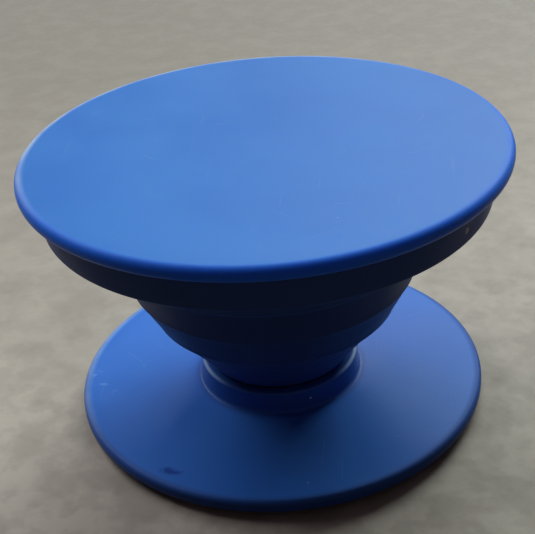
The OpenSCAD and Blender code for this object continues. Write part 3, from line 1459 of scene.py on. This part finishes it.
@dataclass
class Accordion(Piece):
    """The moulded accordion: foot, three thin webs, two stiff tiers and the upper band.

    Its heights are measured from the plate's upper face. The wall runs in straight
    legs from fold to fold.
    """

    # Radius and height of each fold on the wall's centre line, from the neck up
    folds: tuple[Span, ...] = (
        (6.0, 2.5),
        (8.05, 5.4),
        (10.15, 7.8),
        (11.8, 11.0),
        (12.5, 14.0),
        (17.85, 18.3),
    )
    # Whether each leg is a stiff tier, and not a web
    stiff: tuple[bool, ...] = (False, True, False, True, False)
    web_half: float = 0.4
    tier_inner: float = 0.8
    tier_slope: float = 0.1
    relief: float = 0.35
    bead_reach: float = 0.42
    bead_height: float = 0.05
    bead_rounding: Rounding = (0.5, 4)
    bead_root: Rounding = (0.3, 2)
    neck_rounding: Rounding = (0.2, 3)
    neck_start: float = 0.1
    inner_start: float = 0.5
    inner_rounding: Rounding = (0.2, 2)
    tier_rounding: Rounding = (0.1, 2)
    band_bottom: float = 17.9
    band_floor: float = 18.4
    band_top: float = 20.9
    band_root: float = 17.99
    band_radius: float = 18.45
    band_top_radius: float = 18.6
    band_rounding: Rounding = (0.25, 7)
    band_inner: float = 17.25
    floor_rounding: Rounding = (0.2, 3)
    lip_radius: float = 16.35
    lip_bottom: float = 19.7
    lip_rounding: Rounding = (0.12, 3)
    under_lip: Rounding = (0.15, 3)
    foot_radius: float = 5.9
    foot_bore: float = 4.6
    foot_rounding: Rounding = (0.08, 2)
    flange_radius: float = 6.9
    flange_bottom: float = -0.8
    flange_top: float = -0.35
    neck_bottom: float = 2.1
    shoulder_radius: float = 5.4
    shoulder_z: float = 1.3
    bend_start: float = 1.0
    bend_end: float = 18.5
    finish: Elastomer = ACCORDION_FINISH
    node: str = "accordion"
    slot: Slot = Slot.ACCORDION
    body: Body = Body.BELLOWS

    def wall_corner(
        self, leg: int, along: float, across: float, side: Side, rounding: Rounding = (0.0, 1)
    ) -> Corner:
        """Set a corner beside the centre line of one leg of the wall.

        Args:
            leg: Number of the leg, from the neck up.
            along: Distance from the leg's lower fold, or from its upper one if
                negative, in mm.
            across: Distance from the centre line, in mm.
            side: Side of the wall.
            rounding: Rounding of the corner.

        Returns:
            The corner.
        """
        low, high = Vector(self.folds[leg]), Vector(self.folds[leg + 1])
        run = (high - low).normalized()
        start = low + run * along if along >= 0 else high + run * along
        return Corner(*(start + Vector((run.y, -run.x)) * across * side.value), *rounding)

    def bead_corner(self, fold: int) -> Corner:
        """Set the crest of the bead at a fold between two legs.

        Args:
            fold: Number of the fold, from the neck up.

        Returns:
            The corner on the outer side.
        """
        low, here, high = (Vector(self.folds[i]) for i in (fold - 1, fold, fold + 1))
        run = ((here - low).normalized() + (high - here).normalized()).normalized()
        crest = here + Vector((run.y, -run.x)) * (self.web_half + self.bead_height)
        return Corner(*crest, *self.bead_rounding)

    def outer_side(self) -> list[Corner]:
        """List the wall's outer corners.

        Returns:
            The corners from the neck up to the band.
        """
        corners = [self.wall_corner(0, 0.0, self.web_half, Side.OUTER, self.neck_rounding)]
        for fold in range(1, len(self.folds) - 1):
            corners += [
                self.wall_corner(fold - 1, -self.bead_reach, self.web_half, Side.OUTER, self.bead_root),
                self.bead_corner(fold),
                self.wall_corner(fold, self.bead_reach, self.web_half, Side.OUTER, self.bead_root),
            ]
        return corners

    def inner_side(self) -> list[Corner]:
        """List the wall's inner corners.

        Returns:
            The corners from the band down to the neck.
        """
        corners = []
        thick, thin, full = self.tier_inner, self.web_half, self.relief + self.tier_slope
        for leg in reversed(range(len(self.stiff))):
            if self.stiff[leg]:
                corners += [
                    self.wall_corner(leg, -self.relief, thin, Side.INNER),
                    self.wall_corner(leg, -full, thick, Side.INNER, self.tier_rounding),
                    self.wall_corner(leg, full, thick, Side.INNER, self.tier_rounding),
                    self.wall_corner(leg, self.relief, thin, Side.INNER),
                ]
            elif leg:
                corner = self.wall_corner(leg, self.inner_start, thin, Side.INNER, self.inner_rounding)
                corners.append(corner)
        corners.append(self.wall_corner(0, self.neck_start, thin, Side.INNER, self.tier_rounding))
        return corners

    def build(self) -> bpy.types.Object:
        """Turn the whole section.

        Returns:
            The accordion's object.
        """
        corners = [
            Corner(self.foot_bore, self.flange_bottom, *self.foot_rounding),
            Corner(self.flange_radius, self.flange_bottom, *SOFT),
            Corner(self.flange_radius, self.flange_top, *SOFT),
            Corner(self.foot_radius, self.flange_top, *BROKEN),
            Corner(self.foot_radius, self.neck_bottom, *BROKEN),
            *self.outer_side(),
            Corner(self.band_root, self.band_bottom, *BROKEN),
            Corner(self.band_radius, self.band_bottom, *self.band_rounding),
            Corner(self.band_top_radius, self.band_top, *SOFT),
            Corner(self.lip_radius, self.band_top, *self.lip_rounding),
            Corner(self.lip_radius, self.lip_bottom, *self.lip_rounding),
            Corner(self.band_inner, self.lip_bottom, *self.under_lip),
            Corner(self.band_inner, self.band_floor, *self.floor_rounding),
            *self.inner_side(),
            Corner(self.shoulder_radius, self.folds[0][1], *BROKEN),
            Corner(self.shoulder_radius, self.shoulder_z, *BROKEN),
            Corner(self.foot_bore, self.shoulder_z, *BROKEN),
        ]
        return as_object(Lathe(corners, closed=True, lift=DECK_Z, pitch=0.5).turn(), "accordion_bellows")

    def attach(self, piece: bpy.types.Object) -> None:
        """Bake the accordion's place into its mesh; it is not bent or given a body here.

        Args:
            piece: The built accordion.
        """
        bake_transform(piece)


@dataclass
class BasePlate(Piece):
    """The round plate with the low collar round the accordion's foot.

    Its heights are measured from the plate's upper face.
    """

    radius: float = PLATE_RADIUS
    thickness: float = 1.2
    edge_rounding: Rounding = (0.4, 8)
    collar_bore: float = 6.0
    collar_radius: float = 7.0
    collar_root: float = 7.12
    collar_height: float = 2.0
    rim_rounding: Rounding = (0.22, 7)
    root_fillet: Rounding = (0.35, 6)
    counterbore: float = 7.0
    counterbore_top: float = -0.25
    recess_radius: float = 16.6
    recess_top: float = -0.9
    finish: MouldedPlastic = BASE_FINISH
    node: str = "base_plate"
    slot: Slot = Slot.BASE
    body: Body = Body.BASE

    def build(self) -> bpy.types.Object:
        """Turn the plate with its collar, bore and recess.

        Returns:
            The plate's object.
        """
        under = -self.thickness
        corners = [
            Corner(self.radius, under, *self.edge_rounding),
            Corner(self.radius, 0.0, *self.edge_rounding),
            Corner(self.collar_root, 0.0, *self.root_fillet),
            Corner(self.collar_radius, self.collar_height, *self.rim_rounding),
            Corner(self.collar_bore, self.collar_height, *self.rim_rounding),
            Corner(self.collar_bore, self.counterbore_top, *BROKEN),
            Corner(self.counterbore, self.counterbore_top, *BROKEN),
            Corner(self.counterbore, self.recess_top, *BROKEN),
            Corner(self.recess_radius, self.recess_top, *BROKEN),
            Corner(self.recess_radius, under, *BROKEN),
        ]
        return as_object(Lathe(corners, closed=True, lift=DECK_Z, pitch=1.5).turn(), "base_disc")


@dataclass
class FootPlug(Piece):
    """The hollow plug that is pressed into the accordion's foot.

    Its heights are measured from the plate's upper face.
    """

    head_radius: float = 5.2
    head_bottom: float = 1.4
    head_top: float = 2.1
    shank_radius: float = 4.5
    shank_bore: float = 3.5
    bottom: float = -0.8
    edge_rounding: Rounding = (0.2, 3)
    floor_rounding: Rounding = (0.15, 3)
    mouth_rounding: Rounding = (0.06, 2)
    finish: MouldedPlastic = BASE_FINISH
    node: str = "foot_plug"
    slot: Slot = Slot.BASE
    body: Body = Body.BASE

    def build(self) -> bpy.types.Object:
        """Turn the plug.

        Returns:
            The plug's object.
        """
        corners = [
            Corner(0.0, self.head_bottom),
            Corner(self.shank_bore, self.head_bottom, *self.floor_rounding),
            Corner(self.shank_bore, self.bottom, *self.mouth_rounding),
            Corner(self.shank_radius, self.bottom, *self.edge_rounding),
            Corner(self.shank_radius, self.head_bottom, *BROKEN),
            Corner(self.head_radius, self.head_bottom, *BROKEN),
            Corner(self.head_radius, self.head_top, *self.edge_rounding),
            Corner(0.0, self.head_top),
        ]
        return as_object(Lathe(corners, lift=DECK_Z, steps=96).turn(), "foot_plug_pressed")


@dataclass
class AdhesivePad(Piece):
    """The round adhesive pad in the recess under the base plate."""

    radius: float = 16.5
    thickness: float = 0.9
    edge_rounding: Rounding = (0.12, 3)
    finish: AdhesiveFoam = PAD_FINISH
    node: str = "adhesive_pad"
    slot: Slot = Slot.PAD
    body: Body = Body.BASE

    def build(self) -> bpy.types.Object:
        """Turn the pad.

        Returns:
            The pad's object.
        """
        corners = [
            Corner(0.0, 0.0),
            Corner(self.radius, 0.0, *self.edge_rounding),
            Corner(self.radius, self.thickness, *self.edge_rounding),
            Corner(0.0, self.thickness),
        ]
        return as_object(Lathe(corners, pitch=1.5).turn(), "adhesive_disc")


@dataclass(frozen=True)
class Lamp:
    """A far soft lamp that lights the grip and the whole table evenly.

    Attributes:
        name: Name of the lamp.
        azimuth: Direction from the -Y side round to the right, in degrees.
        elevation: Height above the table, in degrees.
        spread: Width of the lamp as the grip sees it, in degrees.
        level: Light that falls on the table, where 1 shows a colour as it is written.
        colour: Colour of the light.
    """

    name: str
    azimuth: float
    elevation: float
    spread: float
    level: float
    colour: Colour = (1.0, 1.0, 1.0)

    def hang(self) -> None:
        """Make the lamp and aim it."""
        data = bpy.data.lights.new(self.name, "SUN")
        turn, rise = math.radians(self.azimuth), math.radians(self.elevation)
        data.angle = math.radians(self.spread)
        data.energy = math.pi * self.level / math.sin(rise)
        data.color = self.colour
        lamp = bpy.data.objects.new(self.name, data)
        way = Vector((math.sin(turn) * math.cos(rise), -math.cos(turn) * math.cos(rise), math.sin(rise)))
        lamp.location = way
        lamp.rotation_euler = way.to_track_quat("Z", "Y").to_euler()
        bpy.context.scene.collection.objects.link(lamp)


def sides_of(look: Vector) -> tuple[Vector, Vector]:
    """Find the directions that lie to the right of a line of sight and above it.

    Args:
        look: Direction of the line.

    Returns:
        Both directions, at right angles to it and of length 1.
    """
    right = look.cross(Vector((0.0, 0.0, 1.0))).normalized()
    return right, right.cross(look.normalized())


@dataclass
class Studio:
    """Plain table, soft lamps, even surroundings and the camera.

    Attributes:
        table_radius: Radius of the table top, in m.
        table_finish: Finish of the table top.
        fill_front: Even light from the front.
        fill_back: Even light from the back.
        fill_change: Shares of the way back between which the one becomes the other.
        backdrop_left: What is seen and mirrored at the left.
        backdrop_right: What is seen and mirrored at the right.
        backdrop_change: Shares of the way right between which it changes.
        image_width: Width of the picture, in pixels.
        tilt: Height of the camera over the base plate's middle, in radians.
        distance: Distance of the camera from that middle, in mm.
        focal_pixels: Focal length, in pixels.
        roll: Turn of the camera about its line of sight, in radians.
        aim: Turn of that line off the middle, to the right and up, in radians.
        sensor: Width of the sensor, in mm.
        clip: Nearest and farthest distance that is drawn, in m.
        lamps: The lamps.
    """

    table_radius: float = 2.5
    table_finish: Finish = Laminate("table_laminate")
    fill_front: Colour = (0.048, 0.033, 0.034)
    fill_back: Colour = (0.065, 0.048, 0.057)
    fill_change: Span = (-0.2, 0.7)
    backdrop_left: Colour = (0.22, 0.23, 0.23)
    backdrop_right: Colour = (0.46, 0.47, 0.46)
    backdrop_change: Span = (-0.35, 0.35)
    image_width: int = 535
    tilt: float = 0.62956
    distance: float = 98.0956
    focal_pixels: float = 1068.2
    roll: float = -0.0847186
    aim: Span = (-0.0049581, 0.0913977)
    sensor: float = 36.0
    clip: Span = (0.005, 20.0)
    lamps: tuple[Lamp, ...] = (
        Lamp("window", 163.0, 43.0, 37.0, 0.410, (0.94, 1.0, 0.94)),
        Lamp("back_left", 230.0, 44.0, 37.0, 0.308, (1.0, 0.98, 0.96)),
        Lamp("ceiling", 200.0, 70.0, 44.0, 0.067),
        Lamp("low_left", 215.0, 27.0, 20.0, 0.055, (0.96, 0.95, 1.0)),
        Lamp("low_right", 144.0, 27.0, 20.0, 0.163, (0.94, 1.0, 0.93)),
    )

    def lay_table(self) -> None:
        """Make the table top."""
        bm = bmesh.new()
        bmesh.ops.create_circle(bm, cap_ends=True, segments=96, radius=self.table_radius)
        table = as_object(bm, "table")
        table.data.materials.append(self.table_finish.material())

    def light(self) -> None:
        """Hang the lamps and set the surroundings."""
        for lamp in self.lamps:
            lamp.hang()
        world = bpy.data.worlds.new("surroundings")
        world.use_nodes = True
        nodes = Nodes(world.node_tree)
        right, back, _ = nodes.split(nodes.add("TexCoord").outputs["Generated"])
        backward = nodes.step(back, *self.fill_change)
        fill = nodes.blend(backward, self.fill_front, self.fill_back)
        rightward = nodes.step(right, *self.backdrop_change)
        backdrop = nodes.blend(rightward, self.backdrop_left, self.backdrop_right)
        background = world.node_tree.nodes["Background"]
        nodes.feed(background.inputs["Color"], nodes.blend(nodes.seen_rays(), fill, backdrop))
        bpy.context.scene.world = world
        bpy.context.scene.view_settings.view_transform = "Standard"

    def set_camera(self) -> None:
        """Set the camera where the photograph was taken from."""
        place = Vector((0.0, -math.cos(self.tilt), math.sin(self.tilt))) * self.distance
        right, above = sides_of(-place)
        look = -place.normalized() + right * math.tan(self.aim[0]) + above * math.tan(self.aim[1])
        right, above = sides_of(look)
        cosine, sine = math.cos(self.roll), math.sin(self.roll)
        axes = (right * cosine + above * sine, above * cosine - right * sine, -look.normalized())
        data = bpy.data.cameras.new("camera")
        data.sensor_width = self.sensor
        data.lens = self.focal_pixels * self.sensor / self.image_width
        data.clip_start, data.clip_end = self.clip
        camera = bpy.data.objects.new("camera", data)
        turn = Matrix(axes).transposed().to_4x4()
        camera.matrix_world = Matrix.Translation((place + Vector((0.0, 0.0, DECK_Z))) * MM) @ turn
        bpy.context.scene.collection.objects.link(camera)
        bpy.context.scene.camera = camera


def clear_start_scene() -> None:
    """Remove what Blender starts with, and keep the frame."""
    kept = set(frame["nodes"].values()) | set(frame["bodies"].values())
    for obj in list(bpy.data.objects):
        if obj not in kept:
            bpy.data.objects.remove(obj)


def report(obj: bpy.types.Object) -> None:
    """Log a piece's size and number of faces."""
    size = " x ".join(f"{side / MM:.2f}" for side in obj.dimensions)
    LOG.info("%s: %s mm, %d faces", obj.name, size, len(obj.data.polygons))


def main() -> None:
    """Build the grip piece by piece and set the scene round it."""
    logging.basicConfig(level=logging.INFO, format="%(name)s: %(message)s")
    clear_start_scene()
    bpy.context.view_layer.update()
    studio = Studio()
    studio.set_camera()
    for part in (AdhesivePad(), BasePlate(), FootPlug(), Accordion(), Button()):
        piece = part.build()
        part.dress(piece)
        report(piece)
    studio.lay_table()
    studio.light()


if __name__ == "__main__":
    main()
